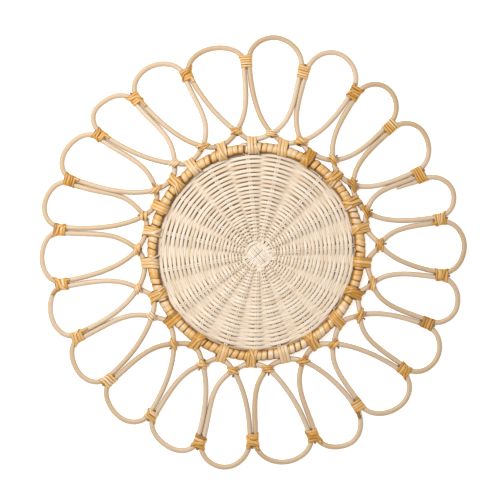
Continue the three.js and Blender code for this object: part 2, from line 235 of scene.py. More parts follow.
def arch(tie, tie_way, tip, tip_way):
    """From a rim tie to the tip."""
    rise = np.hypot(*tip[:, :2].T) - np.hypot(*tie[:, :2].T)
    aside = np.abs(((tip - tie) * tip_way).sum(1))
    return bend(tie, tie_way, rise * ARCH_HOLD_TIE, tip, tip_way, aside * ARCH_HOLD_TIP, ARCH_STEPS)


def dip(deg, turn, foot, foot_way):
    """From the outside of the hoop to a foot, leaving the hoop along it."""
    low = at(deg, hoop_radius(deg) + HOOP_HALF + GAP + CANE_RADIUS, HOOP_Z)
    hold = np.linalg.norm(low - foot, axis=1) * DIP_HOLD
    return bend(low, around(deg) * turn, hold, foot, foot_way, hold, DIP_STEPS)


high_first = petal["over"] == 1
arriving = at(petal["foot"], petal["foot_r"], np.where(high_first, CANE_HIGH, CANE_LOW))
leaving = at(petal["foot"], petal["foot_r"], np.where(high_first, CANE_LOW, CANE_HIGH))
tip = at(petal["tip"], petal["tip_r"], CANE_LOW)
far_tie = at(petal["tie"], petal["tie_r"], CANE_LOW) - around(petal["tie"]) * PAIR_OFFSET
near_tie = at(before["tie"], before["tie_r"], CANE_LOW) + around(before["tie"]) * PAIR_OFFSET
arch_start = far_tie.copy()
arch_start[SPLICED] += around(petal["tie"])[SPLICED] * (PAIR_OFFSET - SPLICE_OFFSET)
in_way = outward(petal["foot"] + petal["veer_out"])
back_way = outward(petal["foot"] - petal["veer_back"])
sidestep = around(petal["foot"])

runs = {
    "dip_in": dip(before["lashing"], 1, arriving, in_way),
    "leg_out": leg(arriving, in_way, far_tie, outward(petal["tie"]), sidestep),
    "arch_out": arch(arch_start, outward(petal["tie"]), tip, -around(petal["tip"])),
    "arch_back": arch(near_tie, outward(before["tie"]), tip, around(petal["tip"]))[:, ::-1],
    "leg_back": leg(leaving, back_way, near_tie, outward(before["tie"]), sidestep)[:, ::-1],
    "dip_out": dip(petal["lashing"], -1, leaving, back_way)[:, ::-1],
}
print({name: run.shape for name, run in runs.items()})

# %% [markdown]
# ## From a path to a skin
# `carry` moves a closed profile along a path. At each station it needs two directions across the path: the
# one that the caller calls up, made square to the path, and the one beside it. `skin` then puts such strips
# into one mesh, each closed round its profile and capped at its ends, and adds a UV map: U runs once round
# the profile, and V is the length along the path, in centimetres. The point attribute `tone` says how ripe
# the colour of a strip is. Nothing grown is even, so `wander` gives sizes and tones a slow random line.

# %% Profiles and wandering lines
def round_profile(sides, power=1.0):
    """A unit circle, counter-clockwise, or for p under 1 an oblong: (sign c |c|^p, sign s |s|^p)."""
    turn = np.arange(sides) / sides * 2 * np.pi
    circle = np.stack([np.cos(turn), np.sin(turn)], axis=-1)
    return np.sign(circle) * np.abs(circle) ** power


def scaled(profile, half_width, height):
    """The profile at every station, its two axes multiplied by half_width and height."""
    return profile * np.stack(np.broadcast_arrays(half_width, height), axis=-1)[:, None]


def wander(x, seed, waves=5):
    """A smooth random line about zero: a few sines of random pace and phase."""
    rng = np.random.default_rng(seed)
    pace, phase = rng.uniform(0.3, 1.7, waves), rng.uniform(0, 2 * np.pi, waves)
    return np.sin(np.asarray(x, float)[..., None] * pace + phase).sum(-1) / np.sqrt(waves)


# A strip of split cane as it lies on what it binds: flat below, domed above, half a width and a height of 1.
PEEL_PROFILE = np.array(
    [(1, 0.3), (0.75, 0.78), (0.28, 1), (-0.28, 1), (-0.75, 0.78), (-1, 0.3), (-0.85, 0), (0.85, 0)])
print("points in the split-cane profile:", len(PEEL_PROFILE))

# %% Carry a profile along a path
UP = np.array([0, 0, 1.0])


def unit(v):
    """Each vector divided by its length."""
    return v / np.maximum(np.linalg.norm(v, axis=-1, keepdims=True), 1e-9)


def carry(path, up, profile):
    """Stations of a strip: p + a s + b u, where u is up made square to the path and s = u x tangent.

    path has shape (stations, 3). up is one direction, or one for each station. profile holds (a, b) pairs
    that turn counter-clockwise seen from the end of the path, and it too may be one for each station.
    """
    tangent = unit(np.gradient(path, axis=0))
    up = unit(up - (up * tangent).sum(-1, keepdims=True) * tangent)
    side = np.cross(up, tangent)
    profile = np.broadcast_to(profile, (len(path), *np.shape(profile)[-2:]))
    return path[:, None] + profile[..., :1] * side[:, None] + profile[..., 1:] * up[:, None]


def length_along(path):
    """The length of a path up to each of its points: the sum of its steps."""
    return np.concatenate([[0], np.cumsum(np.linalg.norm(np.diff(path, axis=0), axis=1))])


print("a strip round the hoop:", carry(at(np.arange(360), HOOP_RADIUS, 0), UP, PEEL_PROFILE).shape)

# %% One mesh from strips
V_UNIT = 10.0


def skin(name, strips, tones, material, painted_shade=None):
    """One mesh from capped strips in millimetres, arrays of (stations, profile points, 3).

    hollow is a function that gives the attribute of that name from the heights of the points: how deep a
    point lies in the weave, for the painted shade in its slits.
    """
    corners, polygons, sizes, uvs, ripeness, offset = [], [], [], [], [], 0
    for strip, tone in zip(strips, tones):
        stations, sides, _ = strip.shape
        index = offset + np.arange(stations * sides).reshape(stations, sides)
        nxt = np.roll(index, -1, axis=1)
        quads = np.stack([index[:-1], nxt[:-1], nxt[1:], index[1:]], axis=-1).reshape(-1, 4)
        along = length_along(strip.mean(axis=1)) / V_UNIT
        u = np.arange(sides + 1) / sides
        low_u, low_v, high_u, high_v = np.broadcast_arrays(u[:-1], along[:-1, None], u[1:], along[1:, None])
        quad_uv = np.stack([low_u, low_v, high_u, low_v, high_u, high_v, low_u, high_v], axis=-1)
        cap_uv = np.stack([u[:-1], np.zeros(sides)], axis=-1)
        corners.append(strip.reshape(-1, 3))
        polygons += [quads.reshape(-1), index[0, ::-1], index[-1]]
        uvs += [quad_uv.reshape(-1), cap_uv[::-1].reshape(-1), (cap_uv + [0, along[-1]]).reshape(-1)]
        ripeness.append(np.broadcast_to(np.reshape(tone, (-1, 1)), (stations, sides)).reshape(-1))
        sizes.append(np.r_[np.full((stations - 1) * sides, 4), sides, sides])
        offset += stations * sides
    sizes = np.concatenate(sizes)
    points = np.concatenate(corners) * MM
    mesh = bpy.data.meshes.new(name)
    mesh.vertices.add(len(points))
    mesh.vertices.foreach_set("co", points.reshape(-1))
    mesh.loops.add(int(sizes.sum()))
    mesh.loops.foreach_set("vertex_index", np.concatenate(polygons).astype(np.int32))
    mesh.polygons.add(len(sizes))
    mesh.polygons.foreach_set("loop_start", np.r_[0, np.cumsum(sizes)[:-1]].astype(np.int32))
    mesh.update(calc_edges=True)
    mesh.uv_layers.new(name="run").data.foreach_set("uv", np.concatenate(uvs))
    mesh.attributes.new("tone", "FLOAT", "POINT").data.foreach_set("value", np.concatenate(ripeness))
    # How deep a point lies in the weave, which the reed materials darken as painted shade.
    if painted_shade is not None:
        mesh.attributes.new("painted_shade", "FLOAT", "POINT").data.foreach_set("value", painted_shade(points[:, 2] / MM))
    mesh.polygons.foreach_set("use_smooth", np.ones(len(sizes), bool))
    mesh.validate()
    mesh.materials.append(material)
    piece = bpy.data.objects.new(name, mesh)
    bpy.context.collection.objects.link(piece)
    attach(piece, "root")
    mesh.calc_loop_triangles()
    print(name, "triangles:", len(mesh.loop_triangles))
    return piece


print("millimetres to a unit of V:", V_UNIT)

# %% [markdown]
# ## Plant fibre as shared effects
# Reed, peeled cane and split cane are all palm stem, so they share `fibre_grain`: fine lines along the stem
# and slow changes of colour, from the UV map. `strip_edge` is 1 at the two edges of a strip of split cane,
# where dirt collects and shade is painted, and `painted_flank_shade` on the two flanks of a round rod, for a
# painted shade where the rod turns from the light. Each is a node group, built once, and each material sets
# its own values.

# %% Node group helpers
def group(name, outputs, **numbers):
    """A node group that takes a UV map and numbers, with these defaults, and gives numbers."""
    tree = bpy.data.node_groups.new(name, "ShaderNodeTree")
    tree.interface.new_socket("UV", in_out="INPUT", socket_type="NodeSocketVector")
    for label, default in numbers.items():
        socket = tree.interface.new_socket(label, in_out="INPUT", socket_type="NodeSocketFloat")
        socket.default_value = default
    for label in outputs:
        tree.interface.new_socket(label, in_out="OUTPUT", socket_type="NodeSocketFloat")
    return tree, tree.nodes.new("NodeGroupInput").outputs, tree.nodes.new("NodeGroupOutput").inputs


def node(tree, kind, links=(), **settings):
    """A shader node, its settings made and its inputs linked or set from pairs (input, socket or value)."""
    new = tree.nodes.new("ShaderNode" + kind)
    for key, value in settings.items():
        setattr(new, key, value)
    for key, source in links:
        if isinstance(source, bpy.types.NodeSocket):
            tree.links.new(source, new.inputs[key])
        else:
            new.inputs[key].default_value = source
    return new


def calc(tree, operation, *values):
    """The result of a Math node on sockets and numbers."""
    return node(tree, "Math", enumerate(values), operation=operation).outputs[0]


def remap(tree, value, low, high, to_low=0.0, to_high=1.0):
    """The value, with the range from low to high carried to that from to_low to to_high."""
    labels = ("Value", "From Min", "From Max", "To Min", "To Max")
    return node(tree, "MapRange", zip(labels, (value, low, high, to_low, to_high))).outputs[0]


def combined(tree, operation, vector, x, y, z):
    """The vector plus or times (x, y, z)."""
    other = node(tree, "CombineXYZ", [("X", x), ("Y", y), ("Z", z)]).outputs[0]
    return node(tree, "VectorMath", [(0, vector), (1, other)], operation=operation).outputs[0]


def darkened(tree, color, mask, dark):
    """The colour multiplied by dark where the mask is 1."""
    links = [(0, mask), (6, color), (7, (*dark, 1))]
    return node(tree, "Mix", links, data_type="RGBA", blend_type="MULTIPLY").outputs[2]


print("node groups so far:", len(bpy.data.node_groups))

# %% Shared effects
# The middle of the outer face of split cane in U. From there the edge mask begins at EDGE_REACH less the
# width of the edge, and is full at EDGE_FULL.
FACE_MIDDLE = 2.5 / len(PEEL_PROFILE)
EDGE_FULL, EDGE_REACH = 0.28, 0.34

grain, given, result = group("fibre_grain", ["Fibre", "Drift"], Lines=10.0, Stretch=0.4, Drift=0.3)
fine = combined(grain, "MULTIPLY", given["UV"], given["Lines"], given["Stretch"], 1.0)
fibre = node(grain, "TexNoise", [("Vector", fine), ("Scale", 3.0), ("Detail", 4.0), ("Roughness", 0.65)])
slow = combined(grain, "MULTIPLY", given["UV"], 0.4, given["Drift"], 1.0)
drift = node(grain, "TexNoise", [("Vector", slow), ("Scale", 1.0), ("Detail", 2.0)])
grain.links.new(fibre.outputs["Fac"], result["Fibre"])
grain.links.new(drift.outputs["Fac"], result["Drift"])

# The edge mask darkens both edges of a strip of split cane: dirt, and painted shade between strips.
edge, given, result = group("strip_edge", ["Edge"], Width=0.2)
u = node(edge, "SeparateXYZ", [(0, given["UV"])]).outputs["X"]
from_middle = calc(edge, "ABSOLUTE", calc(edge, "SUBTRACT", u, FACE_MIDDLE))
start = calc(edge, "SUBTRACT", EDGE_REACH, given["Width"])
edge.links.new(remap(edge, from_middle, start, EDGE_FULL), result["Edge"])

# The flank mask paints shade on both sides of a round rod, where it turns from the light.
flank_shade, given, result = group("painted_flank_shade", ["Edge"], Width=0.22)
u = node(flank_shade, "SeparateXYZ", [(0, given["UV"])]).outputs["X"]
beside = calc(flank_shade, "ABSOLUTE", calc(flank_shade, "COSINE", calc(flank_shade, "MULTIPLY", u, 2 * np.pi)))
start = calc(flank_shade, "SUBTRACT", 1.0, given["Width"])
flank_shade.links.new(remap(flank_shade, beside, start, 1.0), result["Edge"])
print("shared effects:", [g.name for g in bpy.data.node_groups])

# %% [markdown]
# ## Four finishes
# The reed of the disc is matt and almost white, and its stakes are paler than its weaver. The peeled cane of
# the petals is a warmer cream with a satin surface. Split cane keeps the hard skin of the stem, so it shines
# a little and runs from pale straw to strong ochre. In all four, `tone` picks the place on a colour ramp. On
# reed, `painted_shade` darkens the colour down in the slits of the weave: this is painted shade, where little
# light reaches.

# %% Fibre materials
def fibre_material(name, colors, lines, stretch, drift, mix, roughness, bump, edges=None, painted_shade_dark=None):
    """Colour from tone plus drift on a ramp, darker in fibre lines, and at edges and in hollows with painted
    shade.
    """
    material = bpy.data.materials.new(name)
    material.use_nodes = True
    tree = material.node_tree
    shader = tree.nodes["Principled BSDF"]
    uv = node(tree, "UVMap", uv_map="run")
    tone = node(tree, "Attribute", attribute_name="tone")
    moved = combined(tree, "ADD", uv.outputs[0], 0.0, 0.0, tone.outputs["Fac"])
    values = [("UV", moved), ("Lines", lines), ("Stretch", stretch), ("Drift", drift)]
    lined = node(tree, "Group", values, node_tree=grain)
    fibre = lined.outputs["Fibre"]
    away = calc(tree, "MULTIPLY_ADD", lined.outputs["Drift"], mix, -0.5 * mix)
    ramp = node(tree, "ValToRGB", [("Fac", calc(tree, "ADD", tone.outputs["Fac"], away))])
    while len(ramp.color_ramp.elements) < len(colors):
        ramp.color_ramp.elements.new(0.5)
    for element, (position, color) in zip(ramp.color_ramp.elements, colors):
        element.position = position
        element.color = (*color, 1)
    links = [(0, ramp.outputs["Color"]), ("Scale", remap(tree, fibre, 0.3, 0.62, 0.84))]
    color = node(tree, "VectorMath", links, operation="SCALE").outputs[0]
    if edges is not None:
        effect, edge_dark = edges
        rim = node(tree, "Group", [("UV", uv.outputs[0])], node_tree=effect)
        color = darkened(tree, color, rim.outputs["Edge"], edge_dark)
    if painted_shade_dark is not None:
        # Painted shade: darker where a point lies deep in the slits of the weave.
        deep = node(tree, "Attribute", attribute_name="painted_shade")
        color = darkened(tree, color, deep.outputs["Fac"], painted_shade_dark)
    tree.links.new(color, shader.inputs["Base Color"])
    rough = remap(tree, fibre, 0.0, 1.0, roughness + 0.12, roughness - 0.08)
    tree.links.new(rough, shader.inputs["Roughness"])
    relief = node(tree, "Bump", [("Height", fibre), ("Strength", bump), ("Distance", 0.3 * MM)])
    tree.links.new(relief.outputs[0], shader.inputs["Normal"])
    return material


# Deep in the weave both reeds take a darker colour: painted shade.
reed = fibre_material(
    "woven_reed", [(0.0, (0.76, 0.64, 0.51)), (0.5, (0.68, 0.54, 0.385)), (1.0, (0.48, 0.31, 0.16))],
    lines=5, stretch=0.5, drift=0.25, mix=0.5, roughness=0.68, bump=0.35, painted_shade_dark=(0.66, 0.52, 0.36))
pale_reed = fibre_material(
    "pale_reed", [(0.0, (0.93, 0.83, 0.71)), (0.5, (0.82, 0.71, 0.58)), (1.0, (0.6, 0.44, 0.28))],
    lines=5, stretch=0.5, drift=0.25, mix=0.4, roughness=0.68, bump=0.3, painted_shade_dark=(0.93, 0.87, 0.77))
# The peeled cane is darker on its flanks: painted shade, where the rod turns from the light.
cane = fibre_material(
    "peeled_cane", [(0.0, (0.63, 0.485, 0.345)), (0.5, (0.535, 0.38, 0.22)), (1.0, (0.35, 0.2, 0.09))],
    lines=14, stretch=0.3, drift=0.12, mix=0.6, roughness=0.5, bump=0.25, edges=(flank_shade, (0.6, 0.46, 0.3)))
# Split cane is darker at the edges of each strip: dirt, and painted shade.
peel = fibre_material(
    "split_cane",
    [(0.0, (0.74, 0.57, 0.4)), (0.3, (0.7, 0.44, 0.18)), (0.6, (0.6, 0.29, 0.04)), (1.0, (0.2, 0.09, 0.02))],
    lines=7, stretch=0.8, drift=0.5, mix=0.5, roughness=0.36, bump=0.4, edges=(edge, (0.5, 0.36, 0.2)))
print("finishes:", reed.name, pale_reed.name, cane.name, peel.name)

# %% [markdown]
# ## The petal cane
# The six curves of all petals are laid end to end, in the order of the cane. It starts with a pared tail
# beside one leg, and after the whole round ends with a pared head in that leg's tie. The arches are a little
# browner than the legs, since a cane is heated where it bends most.

# %% Lay the curves end to end
# Where the pared tail and head end, the radius there, and the lengths over which they taper.
TAIL_R, HEAD_R, PARED, TAIL_TAPER, HEAD_TAPER = 134.5, 163.5, 1.1, 30.0, 18.0
# The distance from the middle where the browner colour begins, and over which it grows.
BROWN_FROM, BROWN_OVER = 166, 14
CANE_SIDES = 14

tie_deg, tie_r = petal["tie"][SPLICED], petal["tie_r"][SPLICED]
tie_way, last_leg = outward(tie_deg), runs["leg_out"][SPLICED]
along = last_leg @ tie_way
rising = slice(int(np.argmin(along)), int(np.argmax(along)) + 1)
on_leg = np.stack([np.interp(TAIL_R, along[rising], values[rising]) for values in last_leg.T])
tail_start = on_leg - around(tie_deg) * (CANE_RADIUS + GAP + PARED)
tail_hold = (tie_r - TAIL_R) * DIP_HOLD
tail = bend(tail_start, tie_way, tail_hold, arch_start[SPLICED], tie_way, tail_hold, LEG_STEPS)
order = np.roll(np.arange(COUNT), -SPLICED)
stretches = [runs[name][order] for name in ("arch_out", "arch_back", "leg_back", "dip_out")]
stretches += [runs[name][np.roll(order, -1)] for name in ("dip_in", "leg_out")]
round_trip = np.concatenate([run[:, :-1] for run in stretches], axis=1).reshape(-1, 3)
head = last_leg[-1] + tie_way * np.linspace(0, HEAD_R - tie_r, 4)[:, None]
cane_path = np.concatenate([tail[:-1], round_trip, head])

run_length = length_along(cane_path)
taper = np.minimum(np.minimum(run_length / TAIL_TAPER, (run_length[-1] - run_length) / HEAD_TAPER), 1)
cane_radius = PARED + (CANE_RADIUS - PARED) * taper + 0.03 * wander(run_length / 25, 3)
cane_strip = carry(cane_path, UP, round_profile(CANE_SIDES) * cane_radius[:, None, None])
browned = np.clip((np.hypot(*cane_path[:, :2].T) - BROWN_FROM) / BROWN_OVER, 0, 1)
cane_tone = 0.24 + 0.16 * wander(run_length / 60, 4) + 0.2 * browned
petal_cane = skin("petal_cane_round", [cane_strip], [cane_tone], cane)
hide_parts("petal_cane")
print("length of the cane in m:", round(run_length[-1] / 1000, 2))

# %% [markdown]
# ## Binding with split cane
# A strip wound tightly round two canes takes the shape of a string pulled round them. In a direction n, each
# oval section reaches as far as c . n + sqrt((rx nx)^2 + (rz nz)^2), and the string touches the one that
# reaches furthest. So one turn of binding is one turn of n, and the strip moves along the tie meanwhile.

# %% Turns of split cane
def wound(sections, theta):
    """Points and outward directions of a string pulled round oval sections.

    sections has shape (stations, ovals, 4) with a middle (x, z) and two radii, and theta is the direction
    at each station. A point of the furthest oval is c + (rx^2 nx, rz^2 nz) / sqrt((rx nx)^2 + (rz nz)^2).
    """
    n = np.stack([np.cos(theta), np.sin(theta)], axis=-1)[:, None]
    middle, radii = sections[..., :2], sections[..., 2:]
    size = np.sqrt(((radii * n) ** 2).sum(-1))
    furthest = np.argmax((middle * n).sum(-1) + size, axis=1)[:, None, None]
    points = middle + radii**2 * n / size[..., None]
    return np.take_along_axis(points, furthest, axis=1)[:, 0], n[:, 0]


def section_of(path, origin, axis, across, slides):
    """The oval that a cane shows across an axis: where it runs aslant, wider by sqrt(1 + lean^2)."""
    local = path - origin
    along, aside = local @ axis, local @ across
    if np.argmin(along) > np.argmax(along):
        path, along, aside = path[::-1], along[::-1], aside[::-1]
    keep = slice(int(np.argmin(along)), int(np.argmax(along)) + 1)
    lean = np.gradient(aside[keep], along[keep])
    x, z, lean = (np.interp(slides, along[keep], v) for v in (aside[keep], path[keep, 2], lean))
    return np.stack([x, z, CANE_RADIUS * np.sqrt(1 + lean**2), np.full_like(x, CANE_RADIUS)], axis=-1)


def ovals(place, slides, *canes):
    """The ovals of several canes at the same slides."""
    return np.stack([section_of(cane, *place, slides) for cane in canes], axis=1)


# Stations in a turn, the thickness of split cane, and for a crossing strand: the part of a turn before it
# crosses, the part in which it does, and how far back it comes.
PER_TURN, THICK = 26, 0.62
CROSSING_FROM, CROSSING_TURNS, CROSSING_BACK = 0.19, 0.62, 0.85


def bind(place, ovals_at, start, end, strands, slant, crossing, seed, overlap, thick):
    """One length of split cane wound round ovals from start to end along the axis of a place.

    It starts and ends underneath, and moves evenly along the axis, plus slant * cos of its direction. If
    crossing is 1 or -1, it comes up once more, on that side, and crosses over the others back to the start,
    where it is tucked in. A strand is as broad as its share of the length, times overlap.
    """
    origin, axis, across = place
    turns = strands + CROSSING_FROM * abs(crossing)
    length = turns + CROSSING_TURNS * abs(crossing)
    w = np.linspace(0, length, int(length * PER_TURN) + 1)
    theta = 2 * np.pi * (w - strands) - 0.5 * np.pi
    theta = np.pi - theta if crossing < 0 else theta
    over = np.clip((w - turns) / CROSSING_TURNS, 0, 1)
    over = over**2 * (3 - 2 * over)
    along = np.minimum(w / turns, 1) * (1 - CROSSING_BACK * over)
    slides = start + (end - start) * along + slant * np.cos(theta) + 0.1 * wander(w * 2, seed)
    sections = ovals_at(slides)
    sections[..., 2:] += (thick * np.minimum(over * 6, 1) * 0.9)[:, None, None]
    points, n = wound(sections, theta)
    path = origin + slides[:, None] * axis + points[:, :1] * across + points[:, 1:] * UP
    normal = n[:, :1] * across + n[:, 1:] * UP
    half = overlap * (end - start) / strands / 2 * (1 + 0.1 * wander(w * 1.5, seed + 1))
    return carry(path, normal, scaled(PEEL_PROFILE, half, thick))


def strand_tones(strip, tone, seed, spread=0.1):
    """A tone that wanders from strand to strand and along each."""
    w = np.arange(len(strip)) / PER_TURN
    return tone + spread * wander(w * 2.5, seed) + 0.04 * wander(w * 9, seed + 1)


print("stations in a turn:", PER_TURN)

# %% [markdown]
# ## Rim ties
# Near the rim two neighbouring petals are tied side by side with four or five turns. Each was wound by hand,
# so its turns differ in width, slant and colour, and often the last one crosses over the others. A row of the
# table holds the number of strands on top, the slant, the side on which a crossing strand rises (0 for none),
# the tone from pale (0) to strong ochre (0.6) and dark (1), and the length. A strand is a little broader than
# its share, so no gap is left.

# %% The rim ties
RIM_TIES = [  # strands on top, slant, crossing side, tone, length
    (5, 0.4, 1, 0.46, 10.5), (4, -0.5, 0, 0.5, 9), (5, 0.6, 0, 0.4, 11.5), (5, -0.4, -1, 0.6, 12),
    (5, 0.7, 0, 0.34, 11.5), (5, 0.5, 0, 0.32, 11), (4, -0.9, -1, 0.6, 10), (4, 0.8, 1, 0.5, 10),
    (4, 0.8, -1, 0.58, 10), (4, -0.5, 0, 0.68, 10), (4, 0.6, 1, 0.56, 11), (4, -0.6, -1, 0.42, 11),
    (4, 0.5, 1, 0.3, 10.5), (4, -0.9, 0, 0.24, 11), (4, 0.4, 1, 0.28, 9), (4, 0.5, -1, 0.58, 11.5),
    (4, -0.8, 1, 0.5, 11.5), (4, 0.9, 1, 0.54, 11), (4, 0.6, 0, 0.4, 10), (5, -0.8, -1, 0.54, 11),
    (4, 0.5, 0, 0.7, 10.5), (5, -0.7, 1, 0.52, 11.5),
]
RIM_OVERLAP, RIM_THICK = 1.06, 0.7
rim_strips, rim_tones, rim_places = [], [], []
for k, (strands, slant, crossing, tone, length) in enumerate(RIM_TIES):
    deg, following = petal["tie"][k], (k + 1) % COUNT
    place = (at(deg, petal["tie_r"][k], 0.0), outward(deg), around(deg))
    clockwise = np.concatenate([tail if k == SPLICED else runs["leg_out"][k], runs["arch_out"][k][1:9]])
    counter = np.concatenate([runs["leg_back"][following][::-1], runs["arch_back"][following][::-1][1:9]])
    strip = bind(place, lambda slides: ovals(place, slides, clockwise, counter), -length / 2, length / 2,
                 strands, slant, crossing, 40 + 3 * k, RIM_OVERLAP, RIM_THICK)
    rim_strips.append(strip)
    rim_tones.append(strand_tones(strip, tone, 120 + 3 * k, 0.14))
    rim_places.append((place, {-1: clockwise, 1: counter}))
rim_binding = skin("rim_bindings", rim_strips, rim_tones, peel)
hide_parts(*[f"rim_tie_{k + 1:02d}" for k in range(COUNT)])
print("rim ties:", len(rim_strips))

# %% [markdown]
# ## Foot ties
# At the foot of a petal two or three turns bind the crossing. The two passes are one above the other in the
# middle of the tie and spread to both sides further out. The same winding follows them, but only within a
# short neck, because tight turns slip to the narrowest place.

# %% The foot ties
FOOT_ENDS, FOOT_NECK = (-3.1, 2.7), (-1.2, 1.6)
FOOT_OVERLAP, FOOT_THICK = 1.1, 0.85
FOOT_TIES = [  # strands on top, slant, crossing side, tone
    (3, 0.4, 1, 0.52), (3, -0.5, 0, 0.64), (3, 0.6, -1, 0.68), (3, 0.5, 0, 0.42), (2, -0.6, 1, 0.44),
    (3, 0.3, 0, 0.26), (3, 0.7, -1, 0.56), (3, -0.4, 1, 0.32), (3, 0.6, 0, 0.12), (3, 0.5, 1, 0.36),
    (2, -0.6, 0, 0.3), (3, 0.4, -1, 0.28), (3, 0.5, 0, 0.26), (3, -0.5, 0, 0.08), (3, 0.6, 1, 0.4),
    (2, 0.4, -1, 0.4), (3, -0.7, 1, 0.5), (3, 0.5, 0, 0.5), (3, -0.5, 1, 0.56), (2, 0.6, 0, 0.46),
    (3, 0.4, -1, 0.5), (3, -0.5, 0, 0.42),
]
foot_strips, foot_tones, foot_places = [], [], []
for k, (strands, slant, crossing, tone) in enumerate(FOOT_TIES):
    deg = petal["foot"][k]
    place = (at(deg, petal["foot_r"][k], 0.0), outward(deg), around(deg))
    arrival = np.concatenate([runs["dip_in"][k], runs["leg_out"][k][1:]])
    departure = np.concatenate([runs["leg_back"][k], runs["dip_out"][k][1:]])
    strip = bind(place, lambda slides: ovals(place, np.clip(slides, *FOOT_NECK), arrival, departure),
                 *FOOT_ENDS, strands, slant, crossing, 200 + 3 * k, FOOT_OVERLAP, FOOT_THICK)
    foot_strips.append(strip)
    foot_tones.append(strand_tones(strip, tone, 280 + 3 * k))
    foot_places.append(place)
foot_binding = skin("foot_bindings", foot_strips, foot_tones, peel)
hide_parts(*[f"foot_tie_{k + 1:02d}" for k in range(COUNT)])
print("foot ties:", len(foot_strips))

# %% [markdown]
# ## Trimmed tails
# The ends of each length of split cane are tucked under its own turns and cut off, and on many ties a short
# tail shows. At the rim it lies on the clockwise (-1) or counter-clockwise (1) cane and points inward (-1) or
# outward (1). The other end is tucked in the groove between the canes, where its brown cut shows below the
# tie. On half of the ties a second cut shows above it, in the fork of the two arches. At a foot a tail pokes
# up in the fork between the two legs.

# %% Tails at the rim and at the feet
RIM_TAILS = [  # tie, side, way, length, lift at the end, tone
    (0, -1, -1, 3.4, 0.4, 0.6), (3, 1, 1, 1.6, 1.0, 0.7), (6, -1, -1, 3.8, 0.8, 0.4),
    (7, -1, -1, 7.0, 0.3, 0.64), (8, -1, -1, 4.4, 0.6, 0.6), (9, -1, -1, 3.0, 0.9, 0.5),
    (11, 1, 1, 3.6, 1.2, 0.8), (11, -1, -1, 2.6, 0.5, 0.6), (12, -1, -1, 6.4, 0.3, 0.5),
    (16, 1, 1, 2.2, 1.0, 0.7), (16, -1, 1, 1.6, 1.0, 0.6), (17, 1, 1, 2.4, 1.2, 0.6),
    (18, -1, 1, 5.0, 0.8, 0.95), (18, 1, -1, 2.4, 1.2, 0.6), (20, -1, -1, 2.2, 1.3, 0.7),
]
ENDS_IN_FORK = (0, 1, 4, 7, 13, 14, 15, 16, 17, 20, 21)
FOOT_TAILS = [  # foot, aside, length, tone
    (0, 0.6, 2.6, 0.9), (1, -0.4, 2.2, 0.95), (2, 0.3, 1.8, 0.95), (3, -0.2, 2.2, 0.9),
    (9, -1.6, 2.4, 0.85), (10, 0.5, 2.2, 0.9), (14, 0.2, 2.6, 0.9), (15, -0.5, 3.0, 0.9),
    (16, 0.4, 2.4, 0.95), (17, 0.0, 2.8, 0.95), (19, 0.5, 2.6, 0.9), (20, -0.4, 2.2, 0.9),
]
# The profiles of the three kinds of tail, how far each starts inside its tie, and the brown cut.
RIM_TAIL, CUT_END, FOOT_TAIL = (PEEL_PROFILE * scale for scale in ([1.25, 0.6], [0.9, 0.9], [0.75, 0.6]))
RIM_TUCK, CUT_TUCK, FOOT_TUCK = 1.5, 0.6, 1.4
CUT_LENGTH, CUT_TONE = 2.1, 0.95
tail_strips, tail_tones = [], []
share = np.linspace(0, 1, 7)[:, None]
for k, side, way, length, lift, tone in RIM_TAILS:
    (origin, axis, across), canes = rim_places[k]
    reach = way * (RIM_TIES[k][4] / 2 - RIM_TUCK + (length + RIM_TUCK) * share[:, 0])
    x, z = section_of(canes[side], origin, axis, across, reach)[:, :2].T
    path = origin + reach[:, None] * axis + (x + 0.5 * side)[:, None] * across
    path[:, 2] = z + CANE_RADIUS + lift * share[:, 0] ** 2
    tail_strips.append(carry(path, UP, RIM_TAIL))
    tail_tones.append(tone)
for k, ((origin, axis, across), _) in enumerate(rim_places):
    for way in (-1, 1) if k in ENDS_IN_FORK else (-1,):
        path = origin + way * (RIM_TIES[k][4] / 2 - CUT_TUCK + CUT_LENGTH * share) * axis
        path[:, 2] = CANE_LOW + (1.0 + 0.1 * way) * CANE_RADIUS
        tail_strips.append(carry(path, UP, CUT_END))
        tail_tones.append(CUT_TONE)
for k, aside, length, tone in FOOT_TAILS:
    origin, axis, across = foot_places[k]
    path = origin + (FOOT_NECK[1] + (length + FOOT_TUCK) * share) * axis + aside * (1 + 0.8 * share) * across
    path[:, 2] = CANE_HIGH + CANE_RADIUS - 0.3 - 1.8 * share[:, 0] ** 2
    tail_strips.append(carry(path, UP, FOOT_TAIL))
    tail_tones.append(tone)
tails = skin("trimmed_tails", tail_strips, tail_tones, peel)
print("tails:", len(tail_strips))

# %% [markdown]
# ## The wrapped hoop and its lashings
# The hoop is a thick cane wound closely with split cane, about 110 turns. Where the petal cane comes to it,
# both are lashed together with three or four more strands, 22 times. The strands are browner where they turn
# down on the hoop's inner side, and a little on its outer side: partly stain, and partly painted shade where
# the hoop meets the disc and the floor. There the direction n of the winding is level, so the darkening
# depends on its cosine. A few pale ends stick out of the lashings and lie on the round hoop: at a distance d
# from its middle, sqrt(r^2 - d^2) over it.

# %% The hoop
WRAP, WRAP_THICK = 5.2, THICK + 0.25
CORE = HOOP_HALF - WRAP_THICK
core_deg = np.linspace(0, 360, 361)
core_path = at(core_deg, hoop_radius(core_deg), HOOP_Z)
core_strip = carry(core_path, outward(core_deg), round_profile(12) * CORE)

